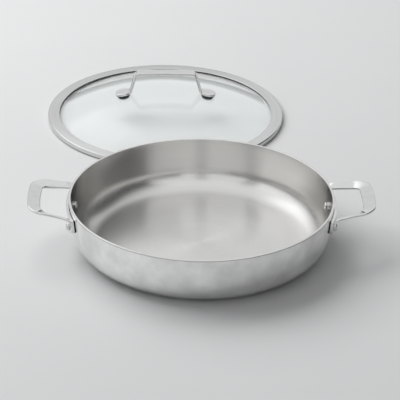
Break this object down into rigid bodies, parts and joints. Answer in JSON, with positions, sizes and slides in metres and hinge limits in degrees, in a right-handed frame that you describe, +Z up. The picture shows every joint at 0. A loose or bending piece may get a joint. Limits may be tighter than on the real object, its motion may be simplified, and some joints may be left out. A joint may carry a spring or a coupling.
{
  "type": "chefs pan",
  "caption": "Wide clad-steel chefs pan with upright walls, riveted loop handles, and a separate domed glass lid with a steel band and strap handle.",
  "frame": {"origin": "middle of the pan's base, on the worktop", "axes": "+Z up, +X from the pan's middle to the right handle, -Y to the front; the lid lies on the same worktop at +Y"},
  "size_m": [0.4052, 0.6685, 0.0653],
  "materials": {
    "outer_steel": "fine circular satin",
    "core_aluminium": "plain",
    "inner_steel": "fine circular satin",
    "handle_steel": "polished",
    "rivet_steel": "polished",
    "lid_glass": "clear tempered",
    "band_steel": "circular brushed",
    "retainer_steel": "satin",
    "silicone": "matt",
    "lid_handle_steel": "polished",
    "fastener_steel": "plain"
  },
  "bodies": {
    "pan": {"steel_skin": "outer_steel", "aluminium_core": "core_aluminium", "steel_liner": "inner_steel", "left_handle": "handle_steel", "right_handle": "handle_steel", "rivet_left_front": "rivet_steel", "rivet_left_back": "rivet_steel", "rivet_right_front": "rivet_steel", "rivet_right_back": "rivet_steel"},
    "lid": {"lid_glass": "lid_glass", "lid_band": "band_steel", "band_retainer": "retainer_steel", "band_gasket": "silicone", "lid_handle": "lid_handle_steel", "foot_seal_left": "silicone", "foot_seal_right": "silicone", "glass_bush_left": "silicone", "glass_bush_right": "silicone", "lower_seal_left": "silicone", "lower_seal_right": "silicone", "cup_washer_left": "fastener_steel", "cup_washer_right": "fastener_steel", "lid_screw_left": "fastener_steel", "lid_screw_right": "fastener_steel"}
  },
  "joints": [
    {"name": "lid_lift", "type": "slide", "parent": "pan", "child": "lid", "axis": [0, 0, 1], "range_m": [0, 0.15]}
  ]
}
